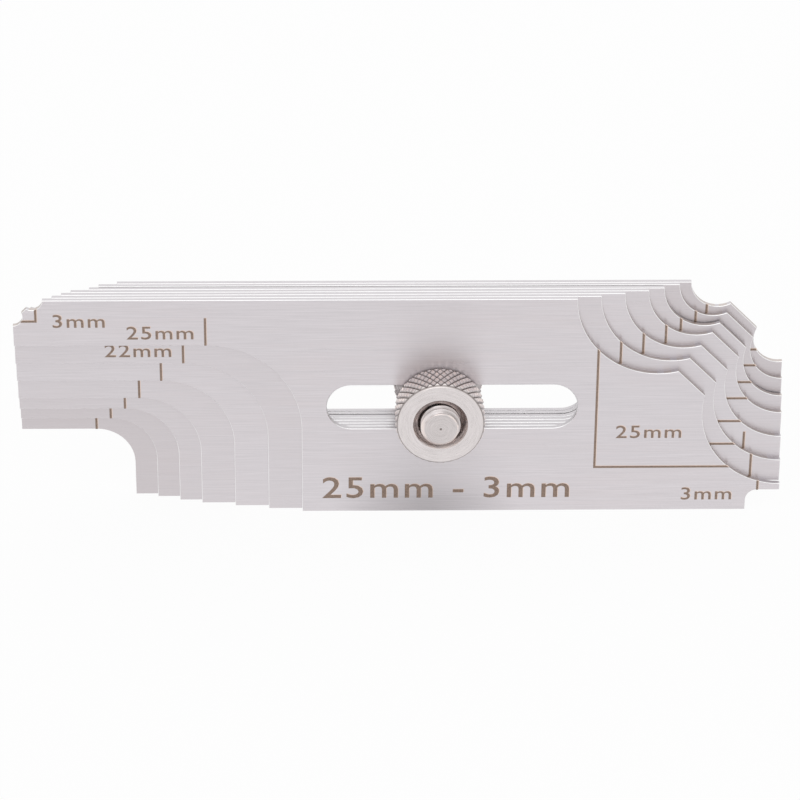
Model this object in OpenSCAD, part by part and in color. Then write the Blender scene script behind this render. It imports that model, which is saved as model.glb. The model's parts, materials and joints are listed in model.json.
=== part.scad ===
// Fillet weld gauge: a pack of thin steel blades that stand on their long edges,
// held by one thumb screw through their slots. Each blade carries two leg sizes and
// two throat sizes. Millimetres, +X along the blades, +Z up, -Y towards the front blade.
// The origin is at the bottom centre of the whole pack.

/* [Blade] */
// Length of a blade
blade_len = 101.5; // [96:0.5:130]
// Height of a blade
blade_h = 31.6; // [30:0.1:45]
// Thickness of a blade
blade_t = 0.78; // [0.4:0.02:2]
// Play between two blades, and between the pack and the screw's head or nut
blade_play = 0.03; // [0.02:0.01:0.2]
// Wider gap between the fifth and the sixth blade, where the pack stands open
open_gap = 0.13; // [0.02:0.01:0.4]

/* [Large sizes, front to back] */
// Large size of the first blade
large_1 = 25; // [20:0.5:25]
// Large size of the second blade
large_2 = 22; // [10:0.5:25]
// Large size of the third blade
large_3 = 19; // [10:0.5:25]
// Large size of the fourth blade
large_4 = 16; // [10:0.5:25]
// Large size of the fifth blade
large_5 = 14; // [10:0.5:25]
// Large size of the sixth blade
large_6 = 12; // [10:0.5:25]
// Large size of the seventh blade
large_7 = 10; // [9:0.5:25]

/* [Small sizes, front to back] */
// Small size of the first blade
small_1 = 3; // [2:0.5:11]
// Small size of the second blade
small_2 = 4; // [2:0.5:11]
// Small size of the third blade
small_3 = 5; // [2:0.5:11]
// Small size of the fourth blade
small_4 = 6; // [2:0.5:11]
// Small size of the fifth blade
small_5 = 8; // [2:0.5:11]
// Small size of the sixth blade
small_6 = 9; // [2:0.5:11]
// Small size of the seventh blade
small_7 = 11; // [2:0.5:11]

/* [Leg cut-outs] */
// Width of a leg cut-out for each millimetre of its size
leg_width_ratio = 1.5; // [1.3:0.05:1.55]
// Radius of a leg cut-out's inner corner for each millimetre of its size
leg_round_ratio = 0.5; // [0.2:0.05:0.6]

/* [Throat noses] */
// Length of the flat on a large nose
large_nose = 5.2; // [2:0.1:6]
// Length of the flat on a small nose for each millimetre of its size
small_nose_ratio = 0.3; // [0.15:0.05:0.5]
// Reach of a large throat's arc past its size along the top edge: fixed part
large_reach = 1.6; // [1:0.1:3]
// Reach of a large throat's arc past its size along the top edge: part for each millimetre of its size
large_reach_ratio = 0.054; // [0:0.002:0.1]
// Reach of a small throat's arc past its size along the top edge: fixed part
small_reach = 0.4; // [0.2:0.1:1]
// Reach of a small throat's arc past its size along the top edge: part for each millimetre of its size
small_reach_ratio = 0.18; // [0.05:0.01:0.3]
// Length by which a throat's arc on the blade's end reaches less far than the one on the top edge
end_short = 0.3; // [0:0.05:0.6]
// Distance by which the rear blade's large throat and its square lie further in along the blade
rear_throat_in = 0.5; // [0:0.05:1]
// Least metal left on a blade's end between a throat and a leg cut-out
end_land = 0.6; // [0.2:0.1:1.5]

/* [Etched lines] */
// Width of an etched line
line_w = 0.3; // [0.2:0.05:0.6]
// Depth of an etched line
line_depth = 0.04; // [0.02:0.01:0.1]
// Length of the leg mark above a large cut-out
large_mark = 4; // [2:0.5:6]
// Length of the leg mark above a small cut-out
small_mark = 6; // [2:0.5:8]

/* [Slot] */
// Length of the front blade's slot, over its round ends
slot_len = 33.2; // [24:0.2:40]
// Length by which a slot behind the front blade starts sooner than the front one
slot_sooner = 3.4; // [0:0.1:4]
// Length by which a slot behind the front blade ends later than the front one
slot_later = 1.4; // [0:0.1:3]
// Width of the slot
slot_w = 6.5; // [6.2:0.1:9]
// Metal left between the slot and the widest leg cut-out
slot_wall = 3.3; // [2:0.1:6]
// Distance from the slot's near end to the axis of the screw, as it is clamped
screw_rest = 14.9; // [9:0.1:20]

/* [Thumb screw and nut] */
// Diameter of the screw's stud over its thread
stud_d = 5.6; // [4:0.1:6]
// Length of the stud that stands out of the nut
stud_out = 1.2; // [0.5:0.1:4]
// Chamfer of the stud's end
stud_chamfer = 0.48; // [0.2:0.02:0.8]
// Diameter of the centre mark in the stud's end
centre_mark_d = 0.5; // [0.2:0.1:1]
// Running clearance of the nut on the stud, on the radius
thread_clear = 0.05; // [0.02:0.01:0.1]
// Diameter of the knurled grips over the knurl
grip_d = 11.8; // [10:0.1:16]
// Length of the nut
nut_len = 5; // [3:0.1:8]
// Length of the screw's head
head_len = 4; // [3:0.1:8]
// Diameter of the nut's countersink at its face
sink_d = 7.2; // [6.6:0.1:8]
// Depth of the nut's countersink
sink_depth = 0.8; // [0.4:0.1:1.5]
// Chamfer on the rims of both grips
grip_chamfer = 0.2; // [0.1:0.05:0.4]

/* [Knurl] */
// Number of diamonds round a grip
knurl_count = 38; // [24:1:44]
// Depth of the knurl
knurl_depth = 0.26; // [0.1:0.02:0.4]
// Length of one diamond along the axis
knurl_pitch = 1.4; // [1:0.1:2]

/* [Hidden] */
$fn = 96;
// Overrun of every cutting shape past the face that it leaves
cut = 1;
large_sizes = [large_1, large_2, large_3, large_4, large_5, large_6, large_7];
small_sizes = [small_1, small_2, small_3, small_4, small_5, small_6, small_7];
blade_count = len(large_sizes);
// Blade in front of the open gap, counted from 0
open_after = 4;
steel = [0.80, 0.79, 0.80];
turned_steel = [0.76, 0.75, 0.76];

// Depths along Y: the stud's end is the foremost point and the head's face the rearmost one
pack_depth = blade_count * blade_t + (blade_count - 2) * blade_play + open_gap;
depth = stud_out + nut_len + blade_play + pack_depth + blade_play + head_len;
nut_back_y = -depth / 2 + stud_out + nut_len;
pack_front_y = nut_back_y + blade_play;
head_front_y = pack_front_y + pack_depth + blade_play;
function blade_back_y(i) =
    pack_front_y + (i + 1) * blade_t + i * blade_play + (i > open_after ? open_gap - blade_play : 0);

// Slot and screw in the blade's plane
slot_x0 = -blade_len / 2 + leg_width_ratio * max(large_sizes) + slot_wall;
slot_z = blade_h / 2;
screw_x = slot_x0 + screw_rest;
stud_len = head_front_y + depth / 2;

// Distance along the blade from its corner to the one that its large throat is drawn in
function throat_in(i) = i == blade_count - 1 ? rear_throat_in : 0;

// Ends of a blade's slot, the near one kept clear of the blade's own leg cut-out
function leg_edge(i) = -blade_len / 2 + leg_width_ratio * large_sizes[i];
function slot_start(i) = i == 0 ? slot_x0 : max(slot_x0 - slot_sooner, leg_edge(i) + slot_wall);
function slot_end(i) = slot_x0 + slot_len + (i == 0 ? 0 : slot_later);

// Reach of a gullet on a blade's end, kept clear of the leg cut-out on the same end
function end_reach(size, leg, top_reach) = min(top_reach - end_short, blade_h - size - leg - end_land);

// Leg cut-out in the corner at [0, 0], open to the left and downwards
module leg_cut(size) {
    width = leg_width_ratio * size;
    round_r = leg_round_ratio * size;
    translate([-cut, -cut])
        square([width - round_r + cut, size + cut]);
    translate([-cut, -cut])
        square([width + cut, size - round_r + cut]);
    translate([width - round_r, size - round_r])
        circle(r = round_r);
}

// Round gullet on the edge along X: from a nose's corner to its own reach past the throat's size
module gullet(size, nose, reach) {
    near = size / 2 - nose / sqrt(8);
    far = size / 2 + nose / sqrt(8);
    span = size + reach - far;
    gullet_r = (span * span + near * near) / (2 * span);
    translate([size + reach - gullet_r, 0])
        circle(r = gullet_r);
}

// Throat cut-out in the corner at [0, 0]: a flat nose at 45 degrees between two round gullets,
// whose centres lie on the blade's two edges
module throat_cut(size, nose, top_reach, end_reach) {
    polygon([[-cut, -cut], [size + cut, -cut], [-cut, size + cut]]);
    gullet(size, nose, top_reach);
    mirror([1, -1])
        gullet(size, nose, end_reach);
}

// Etched mark above a leg cut-out, at the leg's size from the end
module leg_mark(size, length) {
    translate([size - line_w / 2, 0])
        square([line_w, size + length]);
}

// Etched square that a throat cut-out is measured against
module throat_mark(size) {
    translate([size - line_w / 2, 0])
        square([line_w, size + line_w / 2]);
    translate([0, size - line_w / 2])
        square([size + line_w / 2, line_w]);
}

// Places of the four corners, each with its own axes running into the blade
module bottom_left() {
    translate([-blade_len / 2, 0])
        children();
}
module bottom_right() {
    mirror([1, 0])
        bottom_left()
            children();
}
module top_left() {
    translate([0, blade_h])
        mirror([0, 1])
            bottom_left()
                children();
}
module top_right() {
    mirror([1, 0])
        top_left()
            children();
}

module slot_outline(start, end) {
    translate([start + slot_w / 2, slot_z])
        circle(d = slot_w);
    translate([end - slot_w / 2, slot_z])
        circle(d = slot_w);
    translate([start + slot_w / 2, slot_z - slot_w / 2])
        square([end - start - slot_w, slot_w]);
}

module blade_outline(i) {
    large = large_sizes[i];
    small = small_sizes[i];
    large_top = large_reach + large_reach_ratio * large;
    small_top = small_reach + small_reach_ratio * small;
    difference() {
        translate([-blade_len / 2, 0])
            square([blade_len, blade_h]);
        bottom_left()
            leg_cut(large);
        bottom_right()
            leg_cut(small);
        top_right()
            translate([throat_in(i), 0])
                throat_cut(large, large_nose, large_top, end_reach(large, small, large_top));
        top_left()
            throat_cut(small, small_nose_ratio * small, small_top, end_reach(small, large, small_top));
        slot_outline(slot_start(i), slot_end(i));
    }
}

module blade_marks(i) {
    large = large_sizes[i];
    small = small_sizes[i];
    bottom_left()
        leg_mark(large, large_mark);
    bottom_right()
        leg_mark(small, small_mark);
    top_right()
        translate([throat_in(i), 0])
            throat_mark(large);
    top_left()
        throat_mark(small);
}

// One blade of the pack, counted from 0 at the front
module blade(i) {
    color(steel)
        translate([0, blade_back_y(i), 0])
            rotate([90, 0, 0])
                difference() {
                    linear_extrude(blade_t)
                        blade_outline(i);
                    translate([0, 0, blade_t - line_depth])
                        linear_extrude(line_depth + cut)
                            blade_marks(i);
                }
}

// Diamond knurl on a chamfered grip along +Z: rings of points that alternate between crest and
// root, split along the roots, so that the grooves cross as two families of helices
module knurled_grip(length) {
    around = 2 * knurl_count;
    rows = 2 * round((length - 2 * grip_chamfer) / knurl_pitch);
    row_h = (length - 2 * grip_chamfer) / rows;
    rim_r = grip_d / 2 - grip_chamfer;
    root_r = grip_d / 2 - knurl_depth;
    ring_z = [0, for (j = [0 : rows]) grip_chamfer + j * row_h, length];
    last = len(ring_z) - 1;
    points = [
        for (j = [0 : last])
            for (i = [0 : around - 1])
                let (a = 360 * i / around,
                     r = j == 0 || j == last ? rim_r : (i + j) % 2 == 0 ? grip_d / 2 : root_r)
                    [r * cos(a), r * sin(a), ring_z[j]]
    ];
    sides = [
        for (j = [0 : last - 1])
            for (i = [0 : around - 1])
                let (k = (i + 1) % around,
                     a = j * around + i,
                     b = j * around + k,
                     c = (j + 1) * around + k,
                     d = (j + 1) * around + i)
                    each (i + j) % 2 == 0 ? [[a, d, b], [b, d, c]] : [[a, c, b], [a, d, c]]
    ];
    bottom = [for (i = [0 : around - 1]) i];
    top = [for (i = [around - 1 : -1 : 0]) last * around + i];
    polyhedron(points, concat([bottom, top], sides));
}

// Turns a piece along +Z to point at the front, with its base at depth y on the screw's axis
module on_screw_axis(y) {
    translate([screw_x, y, slot_z])
        rotate([90, 0, 0])
            children();
}

module thumb_screw() {
    color(turned_steel)
        on_screw_axis(head_front_y)
            difference() {
                union() {
                    translate([0, 0, -head_len])
                        knurled_grip(head_len);
                    translate([0, 0, -head_len / 2])
                        cylinder(d = stud_d, h = head_len / 2 + stud_len - stud_chamfer);
                    translate([0, 0, stud_len - stud_chamfer])
                        cylinder(d1 = stud_d, d2 = stud_d - 2 * stud_chamfer, h = stud_chamfer);
                }
                translate([0, 0, stud_len - centre_mark_d / 2])
                    cylinder(d1 = 0, d2 = 2 * centre_mark_d, h = centre_mark_d);
            }
}

module thumb_nut() {
    bore_d = stud_d + 2 * thread_clear;
    color(turned_steel)
        on_screw_axis(nut_back_y)
            difference() {
                knurled_grip(nut_len);
                translate([0, 0, -cut])
                    cylinder(d = bore_d, h = nut_len + 2 * cut);
                translate([0, 0, nut_len - sink_depth])
                    cylinder(d1 = bore_d, d2 = sink_d, h = sink_depth);
            }
}

module blade_25mm() { blade(0); }
module blade_22mm() { blade(1); }
module blade_19mm() { blade(2); }
module blade_16mm() { blade(3); }
module blade_14mm() { blade(4); }
module blade_12mm() { blade(5); }
module blade_10mm() { blade(6); }

blade_25mm();
blade_22mm();
blade_19mm();
blade_16mm();
blade_14mm();
blade_12mm();
blade_10mm();
thumb_screw();
thumb_nut();
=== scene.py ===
import json
import math

import bmesh
import bpy
from bpy.props import FloatProperty, FloatVectorProperty, IntProperty, PointerProperty
from mathutils import Matrix, Vector


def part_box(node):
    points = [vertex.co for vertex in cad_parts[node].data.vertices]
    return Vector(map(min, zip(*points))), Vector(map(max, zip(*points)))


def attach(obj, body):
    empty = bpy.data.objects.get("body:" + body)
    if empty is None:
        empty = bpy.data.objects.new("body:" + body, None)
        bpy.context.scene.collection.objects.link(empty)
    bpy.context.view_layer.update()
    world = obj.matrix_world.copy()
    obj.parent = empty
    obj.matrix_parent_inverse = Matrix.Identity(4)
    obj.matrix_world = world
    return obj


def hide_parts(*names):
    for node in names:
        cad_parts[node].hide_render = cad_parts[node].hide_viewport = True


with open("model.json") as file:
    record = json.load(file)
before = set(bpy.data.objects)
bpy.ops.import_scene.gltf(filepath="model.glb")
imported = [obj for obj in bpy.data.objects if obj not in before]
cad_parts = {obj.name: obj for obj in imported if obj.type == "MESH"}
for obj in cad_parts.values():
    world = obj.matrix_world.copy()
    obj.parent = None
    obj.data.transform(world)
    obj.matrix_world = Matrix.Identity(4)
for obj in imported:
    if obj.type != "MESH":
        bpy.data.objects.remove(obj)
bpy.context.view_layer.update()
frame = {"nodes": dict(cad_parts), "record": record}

bl_info = {
    "name": "Fillet Weld Gauge",
    "version": (1, 0, 0),
    "blender": (4, 5, 0),
    "location": "View3D > Sidebar > Weld Gauge",
    "description": "Dresses a pack of weld gauge blades with brushed steel, marks and a clamp",
    "category": "Object",
}

MM = 0.001
# Two points closer than this are one point, and two depths closer than this are one depth
SAME = 0.002 * MM

# Sizes on each blade, front to back: the large pair of corners and the small pair
BLADES = {
    "blade_25mm": (25, 3),
    "blade_22mm": (22, 4),
    "blade_19mm": (19, 5),
    "blade_16mm": (16, 6),
    "blade_14mm": (14, 8),
    "blade_12mm": (12, 9),
    "blade_10mm": (10, 11),
}
BODY_OF_NODE = {
    node: body
    for body, nodes in frame["record"]["behaviour"]["bodies"].items()
    for node in nodes
}
FRONT_BLADE = "blade_25mm"
NUT_LOW, NUT_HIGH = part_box("thumb_nut")
SCREW_LOW, SCREW_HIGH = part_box("thumb_screw")
PACK_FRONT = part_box(FRONT_BLADE)[0].y
PACK_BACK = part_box("blade_10mm")[1].y
BLADE_LOW, BLADE_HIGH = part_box(FRONT_BLADE)
# The screw's axis, at the nut's front face
AXIS = Vector(((NUT_LOW.x + NUT_HIGH.x) / 2, NUT_LOW.y, (NUT_LOW.z + NUT_HIGH.z) / 2))
GRIP_R = (NUT_HIGH.x - NUT_LOW.x) / 2


def axis_distance(point):
    """Distance of a point from the screw's axis."""
    return math.hypot(point.x - AXIS.x, point.z - AXIS.z)


def length(name, description, millimetres):
    """A length that a user may change, given in millimetres."""
    return FloatProperty(
        name=name, description=description, default=millimetres * MM,
        min=0, unit="LENGTH", precision=5
    )


def colour(name, description, rgb):
    """A colour that a user may change, as linear red, green and blue."""
    return FloatVectorProperty(
        name=name, description=description, default=rgb,
        min=0, max=1, size=3, subtype="COLOR"
    )


class WeldGaugeSizes(bpy.types.PropertyGroup):
    """Sizes of the details that the scene adds to the solids"""

    edge_break: length("Edge break", "Chamfer left on the edges of a blade", 0.06)
    mark_lift: length("Mark lift", "Height of an etched mark above the blade's face", 0.006)
    mark_sink: length("Mark sink", "Depth of an etched mark below the blade's face", 0.01)
    label_height: length("Label height", "Height of the digits", 1.95)
    title_height: length("Title height", "Height of the large digits along the bottom edge", 3.3)
    knurl_land: length("Knurl land", "Width of the slope on each side of a diamond", 0.2)
    knurl_depth: length("Knurl depth", "Height of a diamond above the root of the knurl", 0.26)
    knurl_pitch: length("Knurl pitch", "Length of one diamond along the axis", 1.4)
    rim_chamfer: length("Rim chamfer", "Chamfer on the rims of both grips", 0.2)
    rim_bevel: length("Rim bevel", "Bright bevel round the flat end of a grip", 0.18)
    thread_pitch: length("Thread pitch", "Distance between two threads of the stud", 1.0)
    thread_depth: length("Thread depth", "Depth of the stud's thread", 0.45)
    stud_diameter: length("Stud diameter", "Diameter of the stud over its thread", 5.24)
    stud_chamfer: length("Stud chamfer", "Chamfer on the end of the stud", 0.5)
    sink_diameter: length("Countersink", "Diameter of the nut's countersink at its face", 7.2)
    sink_depth: length("Countersink depth", "Depth of the nut's countersink", 0.7)
    bore_diameter: length("Bore", "Diameter of the nut's bore", 5.4)
    knurl_count: IntProperty(
        name="Knurl count", description="Number of diamonds round a grip",
        default=38, min=12, max=80
    )


class WeldGaugeColours(bpy.types.PropertyGroup):
    """Colours of the finishes"""

    steel: colour("Brushed steel", "Reflection of the blades", (0.676, 0.641, 0.664))
    cut_edge: colour("Cut edge", "Reflection of the blades' edges", (0.602, 0.579, 0.596))
    # Near white, brighter than the steel: the corners' wear together with a painted highlight along
    # them
    worn_edge: colour("Worn edge", "Reflection of the broken corners", (0.970, 0.965, 0.965))
    turned: colour("Turned steel", "Reflection of the nut and the screw", (0.715, 0.668, 0.665))
    # Painted shade in the roots of knurls and threads and in other hollows
    groove: colour("Groove", "Reflection at the root of a knurl or thread", (0.085, 0.055, 0.040))
    # Painted highlight on the crests of knurls and threads, the bright bevels and the stud's
    # chamfer
    crest: colour("Crest", "Reflection of the tops of a knurl or thread", (0.980, 0.835, 0.765))
    etched: colour("Etched mark", "Colour of the etched lines and numbers", (0.285, 0.205, 0.160))
    scorched: colour("Scorched rim", "Reflection beside an etched mark", (0.760, 0.625, 0.560))
    floor: colour("Floor", "Colour of the floor", (0.90, 0.90, 0.90))


class WeldGaugeSettings(bpy.types.PropertyGroup):
    """Everything that a user may set on the gauge"""

    sizes: PointerProperty(type=WeldGaugeSizes)
    colours: PointerProperty(type=WeldGaugeColours)


def sizes():
    """The sizes as they are set now."""
    return bpy.context.scene.weld_gauge.sizes


def colours():
    """The colours as they are set now."""
    return bpy.context.scene.weld_gauge.colours


WHITE = (1, 1, 1, 1)
# The range that most of a noise fills
NOISE_LOW, NOISE_HIGH = 0.3, 0.7


class NodeGraph:
    """The nodes of a material or a world, linked as they are made."""

    def __init__(self, owner):
        owner.use_nodes = True
        self.owner = owner
        self.tree = owner.node_tree
        self.tree.nodes.clear()

    def put(self, value, socket):
        """Links an output to a socket, or sets a plain value on it."""
        if isinstance(value, bpy.types.NodeSocket):
            self.tree.links.new(value, socket)
        else:
            socket.default_value = value

    def add(self, kind, settings=None, **inputs):
        """A node of that kind. An input is an output to link or a value to set."""
        made = self.tree.nodes.new(kind)
        for key, value in (settings or {}).items():
            setattr(made, key, value)
        for key, value in inputs.items():
            self.put(value, made.inputs[key.replace("_", " ")])
        return made

    def maths(self, operation, first, second):
        """One operation on two numbers."""
        made = self.add("ShaderNodeMath", {"operation": operation})
        self.put(first, made.inputs[0])
        self.put(second, made.inputs[1])
        return made.outputs["Value"]

    def vectors(self, operation, first, second):
        """One operation on two vectors."""
        made = self.add("ShaderNodeVectorMath", {"operation": operation})
        self.put(first, made.inputs[0])
        self.put(second, made.inputs[1])
        return made.outputs["Vector"]

    def place(self):
        """Object coordinates."""
        return self.add("ShaderNodeTexCoord").outputs["Object"]

    def noise(self, where, scale, detail):
        """Noise at a place, from 0 to 1."""
        made = self.add("ShaderNodeTexNoise", Vector=where, Scale=scale, Detail=detail)
        return made.outputs["Fac"]

    def grain(self, stretch, detail):
        """Noise stretched by a scale on Object coordinates, from 0 to 1."""
        placed = self.add("ShaderNodeMapping", Vector=self.place(), Scale=stretch)
        return self.noise(placed.outputs["Vector"], 1.0, detail)

    def tone(self):
        """The tone that is stored at the corners of the faces."""
        return self.add("ShaderNodeAttribute", {"attribute_name": "tone"}).outputs["Fac"]

    def remap(self, value, low, high, to_low=0.0, to_high=1.0):
        """A value taken from one range to another."""
        made = self.add("ShaderNodeMapRange", Value=value)
        for socket, number in zip(made.inputs[1:5], (low, high, to_low, to_high)):
            socket.default_value = number
        return made.outputs["Result"]

    def spread(self, noise, to_low=0.0, to_high=1.0):
        """Noise taken from the range that most of it fills to another."""
        return self.remap(noise, NOISE_LOW, NOISE_HIGH, to_low, to_high)

    def mix(self, factor, first, second):
        """Two colours mixed by a factor."""
        made = self.add("ShaderNodeMix", {"data_type": "RGBA"})
        self.put(factor, made.inputs[0])
        for socket, value in ((made.inputs[6], first), (made.inputs[7], second)):
            self.put((*value, 1.0) if isinstance(value, tuple) else value, socket)
        return made.outputs[2]

    def surface(self, base, rough, metallic=1.0, **inputs):
        """A metal surface, or a dull one with less of the metal in it."""
        made = self.add(
            "ShaderNodeBsdfPrincipled",
            Base_Color=base, Metallic=metallic, Roughness=rough, **inputs
        )
        return made.outputs["BSDF"]

    def shown(self, camera_share):
        """1 where a mirror or clear glass looks, a share where the camera looks, and else 0."""
        rays = self.add("ShaderNodeLightPath").outputs
        seen = self.maths("MULTIPLY", rays["Is Camera Ray"], camera_share)
        mirrored = self.maths("MAXIMUM", seen, rays["Is Glossy Ray"])
        return self.maths("MAXIMUM", mirrored, rays["Is Transmission Ray"])

    def finish(self, surface, output="ShaderNodeOutputMaterial"):
        """Links the surface and returns the material or the world."""
        self.add(output, Surface=surface)
        return self.owner


def material_graph(name):
    """The empty graph of a new material."""
    return NodeGraph(bpy.data.materials.new(name))


def shade(rgb, factor):
    """A colour made lighter or darker."""
    return tuple(min(1.0, c * factor) for c in rgb)


def tint(rgb, factors):
    """A colour with each channel made lighter or darker by itself."""
    return tuple(c * factor for c, factor in zip(rgb, factors))


# Channels of the warm patches on a blade's face and of the warm arcs on its edges
WARM_FACE = (1.02, 0.985, 0.97)
WARM_ARC = (0.95, 0.90, 0.84)


def brushed_steel():
    """Stainless sheet brushed along its length, with fine streaks, faint warm patches and painted
    shade where a blade's tone is below 1.
    """
    g = material_graph("brushed_steel")
    steel = tuple(colours().steel)
    warm = tint(steel, WARM_FACE)
    streaks = g.grain((170, 900, 7600), detail=4.0)
    broad = g.grain((40, 60, 1500), detail=3.0)
    patches = g.grain((60, 60, 90), detail=2.0)
    patched = g.mix(g.remap(patches, 0.35, 0.7), steel, warm)
    streaked = g.mix(g.spread(streaks), shade(steel, 0.93), shade(steel, 1.09))
    unshaded = g.mix(g.spread(broad, 0.45, 0.95), patched, streaked)
    # Painted shade: a tone below 1 darkens the face towards a darker warm steel
    base = g.mix(g.tone(), shade(warm, 0.80), unshaded)
    rough = g.remap(streaks, 0.25, 0.75, 0.27, 0.36)
    bump = g.add("ShaderNodeBump", Height=streaks, Strength=0.25, Distance=0.004 * MM)
    tangent = g.add("ShaderNodeTangent", {"direction_type": "UV_MAP", "uv_map": "brush"})
    shader = g.surface(
        base, rough, Anisotropic=0.9,
        Normal=bump.outputs["Normal"], Tangent=tangent.outputs["Tangent"]
    )
    return g.finish(shader)


def cut_steel():
    """The blades' edges: cut across the sheet, duller than its faces, and warmer round the arcs."""
    g = material_graph("cut_steel")
    steel = tuple(colours().cut_edge)
    nicks = g.grain((900, 3000, 900), detail=3.0)
    plain_cut = g.mix(g.spread(nicks), shade(steel, 0.93), shade(steel, 1.05))
    base = g.mix(g.tone(), tint(steel, WARM_ARC), plain_cut)
    return g.finish(g.surface(base, g.spread(nicks, 0.36, 0.50)))


def worn_steel():
    """The broken corners of the blades' edges: worn, and near white as a painted highlight along
    them.
    """
    g = material_graph("worn_steel")
    worn_highlight = tuple(colours().worn_edge)
    nicks = g.grain((700, 700, 700), detail=4.0)
    base = g.mix(g.remap(nicks, 0.35, 0.65), shade(worn_highlight, 0.88), worn_highlight)
    return g.finish(g.surface(base, g.spread(nicks, 0.24, 0.36)))


# Tones of the turned pieces, from a groove's painted shade at 0 to a crest's painted highlight at 1
FACE_TONE = 0.7
SINK_TONE = 0.86
BORE_TONE = 0.55
STUD_END_TONE = 0.6
CENTRE_MARK_TONE = 0.2
CHAMFER_TONE = 0.85
THREAD_TONE = 0.7
# Tone that a thread loses down to its root, as painted shade
THREAD_FADE = 0.5
# How much slower the turning lines change along a ring than across it
ARC_STRETCH = 0.12


def turned_steel():
    """Steel turned on a lathe: fine rings round the axis, with painted shade in grooves and a
    painted highlight on crests.
    """
    g = material_graph("turned_steel")
    steel = tuple(colours().turned)
    to_axis = -Vector((AXIS.x, 0, AXIS.z))
    centred = g.add("ShaderNodeMapping", Vector=g.place(), Location=to_axis)
    flat = g.vectors("MULTIPLY", centred.outputs["Vector"], (1, 0, 1))
    radius = g.add("ShaderNodeVectorMath", {"operation": "LENGTH"}, Vector=flat)
    along = g.add("ShaderNodeVectorMath", {"operation": "SCALE"}, Vector=flat, Scale=ARC_STRETCH)
    across = g.add("ShaderNodeCombineXYZ", Y=radius.outputs["Value"])
    arcs = g.vectors("ADD", along.outputs["Vector"], across.outputs["Vector"])
    rings = g.noise(arcs, 5200.0, 4.0)
    cloud = g.grain((1500, 1500, 1500), detail=4.0)
    lines = g.mix(g.spread(rings), shade(steel, 0.87), shade(steel, 1.11))
    unshaded = g.mix(g.spread(cloud, 0.0, 0.5), lines, steel)
    tone = g.tone()
    # Painted shade: tones below the face's darken towards the groove colour
    groove_shaded = g.mix(g.remap(tone, 0.0, FACE_TONE), tuple(colours().groove), unshaded)
    # Painted highlight: tones above the face's brighten in patches towards the crest colour
    crest_highlight = g.maths("MULTIPLY", g.remap(tone, FACE_TONE, 1.0), g.remap(cloud, 0.4, 0.6, 0.25))
    base = g.mix(crest_highlight, groove_shaded, tuple(colours().crest))
    bump = g.add("ShaderNodeBump", Height=rings, Strength=0.5, Distance=0.008 * MM)
    shader = g.surface(base, g.spread(rings, 0.22, 0.38), Normal=bump.outputs["Normal"])
    return g.finish(shader)


def etched_brown():
    """Etched marks: dull brown, a little uneven along the line."""
    g = material_graph("etched_brown")
    etched = tuple(colours().etched)
    specks = g.grain((5000, 5000, 5000), detail=3.0)
    base = g.mix(g.spread(specks), shade(etched, 0.75), shade(etched, 1.35))
    return g.finish(g.surface(base, g.spread(specks, 0.45, 0.65), metallic=0.25))


def scorched_steel():
    """The rim of an etched mark: steel tinted by heat, warmer in patches."""
    g = material_graph("scorched_steel")
    scorched = tuple(colours().scorched)
    specks = g.grain((1500, 1500, 1500), detail=3.0)
    base = g.mix(g.spread(specks), shade(scorched, 0.93), shade(scorched, 1.06))
    return g.finish(g.surface(base, g.spread(specks, 0.30, 0.42)))


# Share of the floor that the camera sees as plain white, beside its shadow
FLOOR_WHITE = 0.94
# The nut's soft shadow on the floor, as reflections show it: its middle from the screw's axis
# and the pack's front, its reach along X and Y, and its depth from 0 to 1
SHADOW_MIDDLE = Vector((-1.6, -2.5)) * MM
SHADOW_REACH = Vector((13, 8)) * MM
SHADOW_DEPTH = 0.53


def nut_shadow(g):
    """Depth of the nut's soft shadow at a place on the floor, and 0 outside a reflection."""
    x, y = AXIS.x + SHADOW_MIDDLE.x, PACK_FRONT + SHADOW_MIDDLE.y
    across, along = SHADOW_REACH
    middle, scale = (-x / across, -y / along, 0), (1 / across, 1 / along, 0)
    placed = g.add("ShaderNodeMapping", Vector=g.place(), Location=middle, Scale=scale)
    away = g.add("ShaderNodeVectorMath", {"operation": "LENGTH"}, Vector=placed.outputs["Vector"])
    depth = g.remap(away.outputs["Value"], 0.0, 1.0, SHADOW_DEPTH, 0.0)
    rays = g.add("ShaderNodeLightPath").outputs
    return g.maths("MULTIPLY", depth, rays["Is Glossy Ray"])


def white_floor():
    """Pale floor: white to the camera and in reflections, with the object's soft shadow."""
    g = material_graph("white_floor")
    dull = g.add("ShaderNodeBsdfDiffuse", Color=(*colours().floor, 1.0))
    strength = g.maths("SUBTRACT", 1.0, nut_shadow(g))
    white = g.add("ShaderNodeEmission", Color=WHITE, Strength=strength)
    both = g.add("ShaderNodeMixShader", Fac=g.shown(FLOOR_WHITE))
    g.put(dull.outputs["BSDF"], both.inputs[1])
    g.put(white.outputs["Emission"], both.inputs[2])
    return g.finish(both.outputs["Shader"])


# Turn of the surface above which an edge is sharp, on a blade or a mark and on a turned piece
FLAT_SHARP = math.radians(30)
TURNED_SHARP = math.radians(25)


def finish_mesh(bm, sharp_angle=FLAT_SHARP):
    """Outward normals, smooth faces and sharp edges where the surface turns."""
    bmesh.ops.recalc_face_normals(bm, faces=bm.faces)
    for face in bm.faces:
        face.smooth = True
    for edge in bm.edges:
        edge.smooth = edge.is_manifold and edge.calc_face_angle() < sharp_angle


def make_piece(bm, name, body, slot, *materials):
    """An object from a bmesh, riding on a body, with its finishes."""
    mesh = bpy.data.meshes.new(name)
    bm.to_mesh(mesh)
    bm.free()
    for material in materials:
        mesh.materials.append(material)
    piece = bpy.data.objects.new(name, mesh)
    bpy.context.scene.collection.objects.link(piece)
    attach(piece, body)
    return piece


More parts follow.
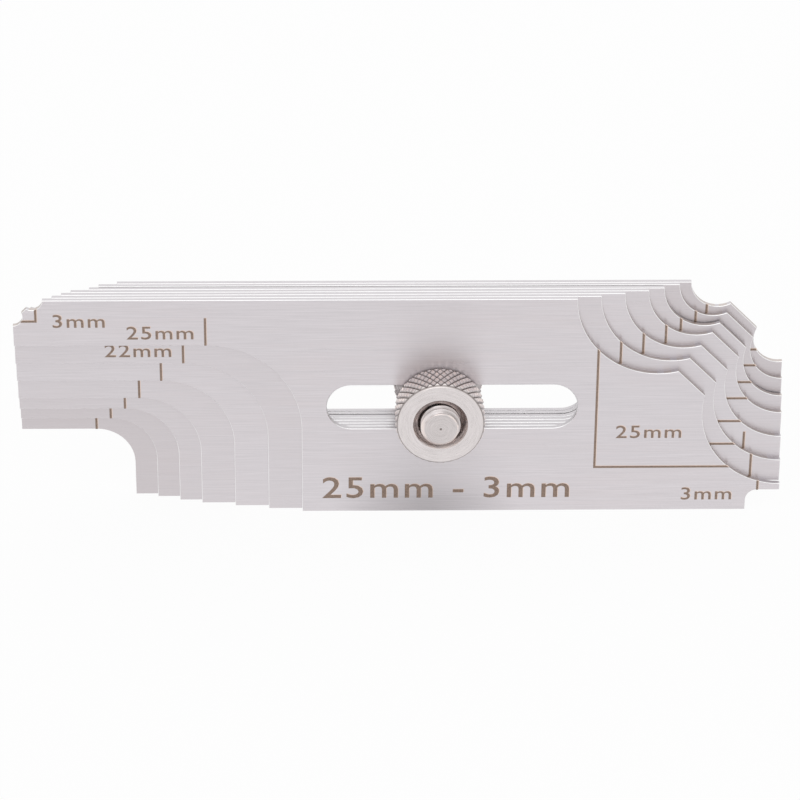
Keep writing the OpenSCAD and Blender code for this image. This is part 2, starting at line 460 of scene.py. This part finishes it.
def lay_brush_lines(bm):
    """A UV map whose first axis runs up the blade, across the brush lines."""
    layer = bm.loops.layers.uv.new("brush")
    for face in bm.faces:
        for loop in face.loops:
            x, y, z = loop.vert.co
            loop[layer].uv = (z / BLADE_HIGH.z, (x + y) / BLADE_HIGH.z)


def copy_of_node(node):
    """A CAD node's mesh with its loose triangles joined."""
    bm = bmesh.new()
    bm.from_mesh(frame["nodes"][node].data)
    bmesh.ops.remove_doubles(bm, verts=bm.verts, dist=SAME / 2)
    return bm


def keep_faces(bm, wanted):
    """Deletes every face that isn't wanted."""
    spare = [face for face in bm.faces if not wanted(face)]
    bmesh.ops.delete(bm, geom=spare, context="FACES")


def thicken(bm, move):
    """Extrudes flat faces into a closed plate and returns the moved faces."""
    made = bmesh.ops.extrude_face_region(bm, geom=list(bm.faces))["geom"]
    bmesh.ops.translate(bm, verts=[v for v in made if isinstance(v, bmesh.types.BMVert)], vec=move)
    return [f for f in made if isinstance(f, bmesh.types.BMFace)]


# Gap in front of a blade that lies loose in the pack
SLACK = {"blade_12mm": 0.08 * MM}
# Tone of a blade's faces where it is below 1: painted shade, deepest on the rear blades
BLADE_SHADES = {
    "blade_22mm": 0.9,
    "blade_16mm": 0.88,
    "blade_14mm": 0.8,
    "blade_12mm": 0.6,
    "blade_10mm": 0.5,
}
# Share of a normal along Y: more than the first on a flat face, less than the second on a wall
FACE_LEAN, WALL_LEAN = 0.9, 0.3
# Share of a wall's normal along X or Z above which the wall is straight
STRAIGHT = 0.999
# Turn below which two faces of a CAD mesh are one
FLAT_JOIN = math.radians(0.5)


def face_of(node):
    """Depth of a blade's front face."""
    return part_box(node)[0].y + SLACK.get(node, 0)


def blade_plate(node):
    """A plate with the blade's outline, taken from its flat back, with its edges broken."""
    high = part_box(node)[1]
    edge = sizes().edge_break
    bm = copy_of_node(node)
    keep_faces(bm, lambda f: all(abs(v.co.y - high.y) < SAME for v in f.verts))
    bmesh.ops.dissolve_limit(bm, angle_limit=FLAT_JOIN, verts=bm.verts, edges=bm.edges)
    bmesh.ops.translate(bm, verts=bm.verts, vec=(0, -edge, 0))
    back = list(bm.faces)
    front = thicken(bm, (0, face_of(node) - high.y + 2 * edge, 0))
    bmesh.ops.recalc_face_normals(bm, faces=bm.faces)
    for cap in (front, back):
        bmesh.ops.inset_region(
            bm, faces=cap, thickness=edge, depth=edge, use_boundary=True, use_even_offset=True
        )
    finish_mesh(bm)
    for face in bm.faces:
        lean = abs(face.normal.y)
        face.material_index = 0 if lean > FACE_LEAN else 1 if lean < WALL_LEAN else 2
    lay_brush_lines(bm)

    def tone(face, radius):
        # A blade's faces take their painted shade from the table of tones; its curved walls that
        # face away from the screw's axis get 0, for the warm arcs
        if face.material_index == 0:
            return BLADE_SHADES.get(node, 1.0)
        straight = max(abs(face.normal.x), abs(face.normal.z)) > STRAIGHT
        inward = face.normal.dot(face.calc_center_median() - AXIS) < 0
        return 1.0 if straight or inward else 0.0

    set_tones(bm, tone)
    return bm


def etched_lines(node):
    """A blade's etched lines, taken from the floors of their grooves and lifted to its face."""
    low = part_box(node)[0]
    bm = copy_of_node(node)
    keep_faces(bm, lambda f: f.normal.y < -FACE_LEAN and f.calc_center_median().y > low.y + SAME)
    for vert in bm.verts:
        vert.co.y = face_of(node) - sizes().mark_lift
    thicken(bm, (0, sizes().mark_lift + sizes().mark_sink, 0))
    finish_mesh(bm)
    return bm


class WELDGAUGE_OT_blades(bpy.types.Operator):
    """Dress every blade as a brushed plate with broken edges"""

    bl_idname = "weld_gauge.blades"
    bl_label = "Blades"

    def execute(self, context):
        finishes = brushed_steel(), cut_steel(), worn_steel()
        for node in BLADES:
            body = BODY_OF_NODE[node]
            piece = make_piece(blade_plate(node), node + "_plate", body, "blade_steel", *finishes)
            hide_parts(node)
        return {"FINISHED"}


# Letters: widening, spacing, height of a digit in a letter 1 high, and segments in a curve
LABEL_STRETCH = 1.234
LABEL_SPACING = 1.12
DIGIT_HEIGHT = 0.73
LABEL_SEGMENTS = 3
# Widening of the strokes of a letter 1 high, left out where it would close the inside of a 4
LABEL_WEIGHT = 0.006
# Distance below which two points of a letter 1 high are one
LABEL_JOIN = 0.0001
# Place of a mark's scorched rim from the mark: to the right, a little behind it, and upwards
RIM_SHIFT = Vector((0.09, 0.003, 0.08)) * MM


def label(text, left, base, front, height):
    """A mesh of digits and letters that stands on a base line, facing the front."""
    scale = height / DIGIT_HEIGHT
    depth = sizes().mark_lift + sizes().mark_sink
    curve = bpy.data.curves.new("label", "FONT")
    curve.body = text
    curve.space_character = LABEL_SPACING
    curve.offset = 0.0 if "4" in text else LABEL_WEIGHT
    curve.extrude = depth / scale / 2
    curve.resolution_u = LABEL_SEGMENTS
    holder = bpy.data.objects.new("label", curve)
    bpy.context.scene.collection.objects.link(holder)
    bpy.context.view_layer.update()
    evaluated = holder.evaluated_get(bpy.context.evaluated_depsgraph_get())
    mesh = bpy.data.meshes.new_from_object(evaluated)
    bpy.data.objects.remove(holder)
    bpy.data.curves.remove(curve)
    bm = bmesh.new()
    bm.from_mesh(mesh)
    bpy.data.meshes.remove(mesh)
    bmesh.ops.remove_doubles(bm, verts=bm.verts, dist=LABEL_JOIN)
    bmesh.ops.scale(bm, verts=bm.verts, vec=(LABEL_STRETCH * scale, scale, scale))
    bmesh.ops.rotate(bm, verts=bm.verts, matrix=Matrix.Rotation(math.pi / 2, 3, "X"))
    low_x = min(v.co.x for v in bm.verts)
    middle_y = front - sizes().mark_lift + depth / 2
    bmesh.ops.translate(bm, verts=bm.verts, vec=(left - low_x, middle_y, base))
    return bm


def join_into(bm, other):
    """Adds one bmesh to another."""
    mesh = bpy.data.meshes.new("joined")
    other.to_mesh(mesh)
    other.free()
    bm.from_mesh(mesh)
    bpy.data.meshes.remove(mesh)


# Places of the numbers in millimetres, along the blade and up it: inside the front blade's square,
# or under the throat; before a big leg's mark, or beside a small one; at the two small corners;
# and along the bottom edge
IN_SQUARE = (2.7, 4.4)
UNDER_THROAT = (22.3, 4.0)
BEFORE_LEG = (10.25, 0.95)
BESIDE_LEG = (1.7, 3.9)
AT_TOP_CORNER = (2.2, 3.9)
AT_LOW_CORNER = (8.7, 1.55)
TITLE_PLACE = (40.2, 2.05)
# Millimetres that a low corner's number moves away from it for each further digit,
# and for each millimetre of the corner's size
DIGIT_LENGTH = 1.7
LOW_CORNER_REACH = 1.5
# Size above which a leg's mark has room for its number before it
BIG_CORNER = 20


def label_places(node):
    """Text, left end, base line and height of the numbers on a blade."""
    large, small = BLADES[node]
    left, right, top = BLADE_LOW.x / MM, BLADE_HIGH.x / MM, BLADE_HIGH.z / MM
    if node == FRONT_BLADE:
        throat = (right - large + IN_SQUARE[0], top - large + IN_SQUARE[1])
    else:
        throat = (right - UNDER_THROAT[0], top - large - UNDER_THROAT[1])
    if large > BIG_CORNER:
        leg = (left + large - BEFORE_LEG[0], large + BEFORE_LEG[1])
    else:
        leg = (left + large + BESIDE_LEG[0], large + BESIDE_LEG[1])
    top_corner = (left + small + AT_TOP_CORNER[0], top - AT_TOP_CORNER[1])
    low_length = AT_LOW_CORNER[0] + DIGIT_LENGTH * (len(str(small)) - 1)
    low_corner = (right - LOW_CORNER_REACH * small - low_length, AT_LOW_CORNER[1])
    title = (left + TITLE_PLACE[0], TITLE_PLACE[1])
    plain_height, title_height = sizes().label_height, sizes().title_height
    places = [
        (f"{large}mm", *throat, plain_height),
        (f"{large}mm", *leg, plain_height),
        (f"{small}mm", *top_corner, plain_height),
        (f"{small}mm", *low_corner, plain_height),
        (f"{large}mm - {small}mm", *title, title_height),
    ]
    return [(text, x * MM, z * MM, height) for text, x, z, height in places]


def etched_mark(node):
    """All the lines and numbers of a blade, as thin flat solids."""
    bm = etched_lines(node)
    for text, left, base, height in label_places(node):
        join_into(bm, label(text, left, base, face_of(node), height))
    return bm


class WELDGAUGE_OT_marks(bpy.types.Operator):
    """Add the etched lines and numbers of every blade, each with a scorched rim"""

    bl_idname = "weld_gauge.marks"
    bl_label = "Etched marks"

    def execute(self, context):
        etched, scorched = etched_brown(), scorched_steel()
        for node in BLADES:
            body = BODY_OF_NODE[node]
            make_piece(etched_mark(node), node + "_marks", body, "blade_steel", etched)
            rim = etched_mark(node)
            bmesh.ops.translate(rim, verts=rim.verts, vec=RIM_SHIFT)
            make_piece(rim, node + "_mark_rims", body, "blade_steel", scorched)
        return {"FINISHED"}


def lathe(profile, steps):
    """A surface turned round the screw's axis from points given as radius and depth along Y."""
    bm = bmesh.new()
    verts = [bm.verts.new((AXIS.x + radius, y, AXIS.z)) for radius, y in profile]
    edges = [bm.edges.new(pair) for pair in zip(verts, verts[1:])]
    bmesh.ops.spin(
        bm, geom=verts + edges, cent=AXIS, axis=(0, 1, 0), dvec=(0, 0, 0),
        angle=2 * math.pi, steps=steps, use_merge=True
    )
    bmesh.ops.remove_doubles(bm, verts=bm.verts, dist=SAME / 4)
    bmesh.ops.recalc_face_normals(bm, faces=bm.faces)
    return bm


def knurl_rows(low_y, high_y):
    """Depths of the knurl's rows between two rims."""
    span = high_y - low_y
    rows = 2 * round(span / sizes().knurl_pitch)
    return [low_y + span * j / rows for j in range(rows + 1)]


def raise_knurl(bm, rows, root):
    """Turns the rows of a grip into raised diamonds between two families of crossing grooves."""
    around = 2 * sizes().knurl_count
    tag = bm.faces.layers.int.new("knurl")
    places = {}
    for vert in bm.verts:
        radius = axis_distance(vert.co)
        row = min(range(len(rows)), key=lambda j: abs(rows[j] - vert.co.y))
        if abs(rows[row] - vert.co.y) < SAME and abs(radius - root) < SAME:
            turn = math.atan2(vert.co.z - AXIS.z, vert.co.x - AXIS.x) / (2 * math.pi)
            places[vert] = (round(turn * around) + row, row)
    band = [f for f in bm.faces if all(v in places for v in f.verts)]
    roots = [v for v, (parity, row) in places.items() if parity % 2]
    crests = [v for v, (parity, row) in places.items() if parity % 2 == 0]
    inner = [v for v in crests if 0 < places[v][1] < len(rows) - 1]
    rims = set(crests) - set(inner)
    for face in band:
        face[tag] = 1
    bmesh.ops.connect_verts(bm, verts=roots)
    ends = [
        e for e in bm.edges
        if sum(v in rims for v in e.verts) == 1 and all(f[tag] for f in e.link_faces)
    ]
    bmesh.ops.dissolve_edges(bm, edges=ends, use_verts=False)
    bmesh.ops.dissolve_verts(bm, verts=inner)
    diamonds = [f for f in bm.faces if f[tag]]
    bmesh.ops.inset_individual(
        bm, faces=diamonds, thickness=sizes().knurl_land, depth=sizes().knurl_depth,
        use_even_offset=True
    )


def set_tones(bm, tone):
    """Stores a tone from 0 to 1 at each corner of each face, which the materials turn into painted
    shade, painted highlight and the warm arcs of a blade's walls.
    """
    layer = bm.loops.layers.float.new("tone")
    for face in bm.faces:
        for loop in face.loops:
            radius = axis_distance(loop.vert.co)
            loop[layer] = max(0.0, min(1.0, tone(face, radius)))


# Tone at the outer edge of a rim's bevel, and what it gains across the bevel: a painted shade line
# at the edge and a painted highlight inside
RIM_TONE, RIM_GAIN = 0.15, 0.7
# Tone at the root of the knurl, as painted shade
ROOT_TONE = 0.05


def bevel_tone(radius):
    """Tone on the bevel of a grip's rim: a painted highlight inside and a painted shade line at its
    outer edge.
    """
    outside = (radius - GRIP_R + sizes().rim_chamfer) / sizes().rim_bevel
    return RIM_TONE - RIM_GAIN * outside


def grip_tone(face, radius):
    """Tone on a grip: bare on its ends, painted shade at the knurl's root and a painted highlight
    on its crests.
    """
    if abs(face.normal.y) > FACE_LEAN:
        return FACE_TONE
    height = (radius - GRIP_R + sizes().knurl_depth) / sizes().knurl_depth
    return ROOT_TONE + (1 - ROOT_TONE) * height


class WELDGAUGE_OT_nut(bpy.types.Operator):
    """Build the knurled nut with its countersunk bore"""

    bl_idname = "weld_gauge.nut"
    bl_label = "Thumb nut"

    def execute(self, context):
        s = sizes()
        root = GRIP_R - s.knurl_depth
        rim = GRIP_R - s.rim_chamfer
        front, back = NUT_LOW.y, NUT_HIGH.y
        rows = knurl_rows(front + s.rim_chamfer, back - s.rim_chamfer)
        profile = [
            (s.bore_diameter / 2, back),
            (s.bore_diameter / 2, front + s.sink_depth),
            (s.sink_diameter / 2, front),
            (rim - s.rim_bevel, front),
            (rim, front + s.rim_bevel),
            *[(root, y) for y in rows],
            (rim, back),
            (s.bore_diameter / 2, back),
        ]
        bm = lathe(profile, 2 * s.knurl_count)
        raise_knurl(bm, rows, root)
        finish_mesh(bm, TURNED_SHARP)
        sink = s.sink_diameter / 2

        def tone(face, radius):
            middle = face.calc_center_median()
            if axis_distance(middle) <= sink:
                return SINK_TONE if middle.y < front + s.sink_depth else BORE_TONE
            if middle.y >= front + s.rim_bevel:
                return grip_tone(face, radius)
            return FACE_TONE if middle.y < front + SAME else bevel_tone(radius)

        set_tones(bm, tone)
        body = BODY_OF_NODE["thumb_nut"]
        piece = make_piece(bm, "knurled_nut", body, "turned_steel", turned_steel())
        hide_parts("thumb_nut")
        return {"FINISHED"}


# Steepness of a thread's flanks, and how far its crest is flattened
FLANK, CREST_FLAT = 1.35, 0.15


def cut_thread(bm, radius, tip, end):
    """Sinks a helical groove into the rows of the stud, from its chamfered tip to its end."""
    s = sizes()
    for vert in bm.verts:
        x, z = vert.co.x - AXIS.x, vert.co.z - AXIS.z
        here = math.hypot(x, z)
        on_stud = radius - s.stud_chamfer - SAME <= here <= radius + SAME
        if not on_stud or not tip + SAME < vert.co.y < end - SAME:
            continue
        turn = vert.co.y / s.thread_pitch + math.atan2(z, x) / (2 * math.pi)
        groove = 1 - abs(2 * (turn % 1) - 1)
        depth = s.thread_depth * max(0.0, min(1.0, FLANK * groove - CREST_FLAT))
        scale = min(here, radius - depth) / here
        vert.co.x, vert.co.z = AXIS.x + x * scale, AXIS.z + z * scale


# Rows of points along one turn of the thread
THREAD_ROWS = 12
# Depth and radius of the centre mark in the stud's end
CENTRE_MARK = 0.16 * MM


class WELDGAUGE_OT_screw(bpy.types.Operator):
    """Build the screw with its threaded stud and knurled head"""

    bl_idname = "weld_gauge.screw"
    bl_label = "Thumb screw"

    def execute(self, context):
        s = sizes()
        root = GRIP_R - s.knurl_depth
        rim = GRIP_R - s.rim_chamfer
        stud = s.stud_diameter / 2
        tip, head_back = SCREW_LOW.y, SCREW_HIGH.y
        # The head is as far from the pack as the nut
        head_front = PACK_BACK + (PACK_FRONT - NUT_HIGH.y)
        rows = knurl_rows(head_front + s.rim_chamfer, head_back - s.rim_chamfer)
        step = s.thread_pitch / THREAD_ROWS
        stud_rows = [tip + step * j for j in range(1, int((head_front - tip) / step))]
        profile = [
            (0, tip + CENTRE_MARK),
            (CENTRE_MARK, tip),
            (stud - s.stud_chamfer, tip),
            *[(min(stud, stud - s.stud_chamfer + y - tip), y) for y in stud_rows],
            (stud, head_front),
            (rim, head_front),
            *[(root, y) for y in rows],
            (rim, head_back - s.rim_bevel),
            (rim - s.rim_bevel, head_back),
            (0, head_back),
        ]
        bm = lathe(profile, 2 * s.knurl_count)
        raise_knurl(bm, rows, root)
        cut_thread(bm, stud, tip, head_front)
        finish_mesh(bm, TURNED_SHARP)

        def tone(face, radius):
            middle = face.calc_center_median()
            if axis_distance(middle) > stud:
                at_bevel = head_back - s.rim_bevel < middle.y < head_back - SAME
                return bevel_tone(radius) if at_bevel else grip_tone(face, radius)
            if middle.y < tip + SAME:
                return STUD_END_TONE
            if axis_distance(middle) < CENTRE_MARK:
                return CENTRE_MARK_TONE
            crest = min(stud, stud - s.stud_chamfer + middle.y - tip)
            bare = CHAMFER_TONE if middle.y < tip + s.stud_chamfer else THREAD_TONE
            return bare - THREAD_FADE * (crest - radius) / s.thread_depth

        set_tones(bm, tone)
        body = BODY_OF_NODE["thumb_screw"]
        piece = make_piece(bm, "knurled_screw", body, "turned_steel", turned_steel())
        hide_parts("thumb_screw")
        return {"FINISHED"}


# Lamps: place, width and height in metres, and radiance
SOFTBOXES = {
    "back_softbox": ((0.0, 0.55, 0.42), (1.0, 0.5), 0.25),
    "top_softbox": ((-0.1, -0.4, 0.72), (0.7, 0.3), 0.6),
}
# Point in the pack that the lamps are aimed at
LAMP_AIM = Vector((0, 0, 0.016))


def add_softbox(name, place, size, radiance):
    """A rectangular lamp that is aimed at the pack and shows in reflections with that radiance."""
    data = bpy.data.lights.new(name, "AREA")
    data.shape = "RECTANGLE"
    data.size, data.size_y = size
    data.energy = radiance * math.pi * size[0] * size[1]
    lamp = bpy.data.objects.new(name, data)
    lamp.location = place
    lamp.rotation_euler = (LAMP_AIM - Vector(place)).to_track_quat("-Z", "Y").to_euler()
    lamp.visible_camera = False
    bpy.context.scene.collection.objects.link(lamp)


# The photograph's view: angles in degrees, and the aim and the distance in millimetres,
# measured from the front blade's face
VIEW_TURN = -1.418
VIEW_RISE = 27.979
VIEW_ROLL = -0.438
VIEW_AIM = Vector((-0.262, 0, 16.851))
VIEW_DISTANCE = 444.71
# Focal length in pixels of the photograph's 800 pixel frame
VIEW_FOCAL = 3369.8
FRAME_PIXELS = 800
SENSOR_WIDTH = 36


def add_camera():
    """A camera at the photograph's viewing angle."""
    turn, rise, roll = (math.radians(a) for a in (VIEW_TURN, VIEW_RISE, VIEW_ROLL))
    level = Vector((math.sin(turn), -math.cos(turn), 0))
    back = level * math.cos(rise) + Vector((0, 0, math.sin(rise)))
    right = Vector((math.cos(turn), math.sin(turn), 0))
    down = (-back).cross(right)
    across = math.cos(roll) * right + math.sin(roll) * down
    below = math.cos(roll) * down - math.sin(roll) * right
    place = VIEW_AIM * MM + Vector((0, PACK_FRONT, 0)) + back * VIEW_DISTANCE * MM
    data = bpy.data.cameras.new("camera")
    data.sensor_width = SENSOR_WIDTH
    data.lens = VIEW_FOCAL * SENSOR_WIDTH / FRAME_PIXELS
    data.clip_start = 0.01
    camera = bpy.data.objects.new("camera", data)
    turned = Matrix((across, -below, back)).transposed().to_4x4()
    camera.matrix_world = Matrix.Translation(place) @ turned
    bpy.context.scene.collection.objects.link(camera)
    bpy.context.scene.camera = camera


# Strength of the room's light where neither the camera nor a reflection looks
ROOM_LIGHT = 0.8


def set_world():
    """A white room to the camera and in reflections, and plain soft light elsewhere."""
    g = NodeGraph(bpy.data.worlds.new("white_room"))
    strength = g.remap(g.shown(1.0), 0.0, 1.0, ROOM_LIGHT)
    light = g.add("ShaderNodeBackground", Color=WHITE, Strength=strength)
    bpy.context.scene.world = g.finish(light.outputs["Background"], "ShaderNodeOutputWorld")


# Half the width of the floor, in metres
FLOOR_HALF = 1.5


def add_floor():
    """A wide pale floor under the blades."""
    bm = bmesh.new()
    bmesh.ops.create_grid(bm, x_segments=8, y_segments=8, size=FLOOR_HALF)
    mesh = bpy.data.meshes.new("floor")
    bm.to_mesh(mesh)
    bm.free()
    mesh.materials.append(white_floor())
    floor = bpy.data.objects.new("floor", mesh)
    bpy.context.scene.collection.objects.link(floor)


class WELDGAUGE_OT_stage(bpy.types.Operator):
    """Set up the floor, the lamps, the white room and the camera"""

    bl_idname = "weld_gauge.stage"
    bl_label = "Stage"

    def execute(self, context):
        context.scene.view_settings.view_transform = "Standard"
        add_floor()
        set_world()
        for name, (place, size, radiance) in SOFTBOXES.items():
            add_softbox(name, place, size, radiance)
        add_camera()
        return {"FINISHED"}


class WELDGAUGE_PT_panel(bpy.types.Panel):
    """Sizes, colours and steps of the weld gauge"""

    bl_idname = "WELDGAUGE_PT_panel"
    bl_label = "Weld Gauge"
    bl_space_type = "VIEW_3D"
    bl_region_type = "UI"
    bl_category = "Weld Gauge"

    def draw(self, context):
        settings = context.scene.weld_gauge
        for group in (settings.sizes, settings.colours):
            box = self.layout.box()
            for key in group.bl_rna.properties.keys():
                if key not in {"rna_type", "name"}:
                    box.prop(group, key)
        for operator in OPERATORS:
            self.layout.operator(operator.bl_idname)


OPERATORS = (
    WELDGAUGE_OT_blades,
    WELDGAUGE_OT_marks,
    WELDGAUGE_OT_screw,
    WELDGAUGE_OT_nut,
    WELDGAUGE_OT_stage,
)
CLASSES = (WeldGaugeSizes, WeldGaugeColours, WeldGaugeSettings, *OPERATORS, WELDGAUGE_PT_panel)


def register():
    for cls in CLASSES:
        bpy.utils.register_class(cls)
    bpy.types.Scene.weld_gauge = PointerProperty(type=WeldGaugeSettings)


def unregister():
    del bpy.types.Scene.weld_gauge
    for cls in reversed(CLASSES):
        bpy.utils.unregister_class(cls)


def main():
    register()
    bpy.ops.weld_gauge.blades()
    bpy.ops.weld_gauge.marks()
    bpy.ops.weld_gauge.screw()
    bpy.ops.weld_gauge.nut()
    bpy.ops.weld_gauge.stage()


if __name__ == "__main__":
    main()
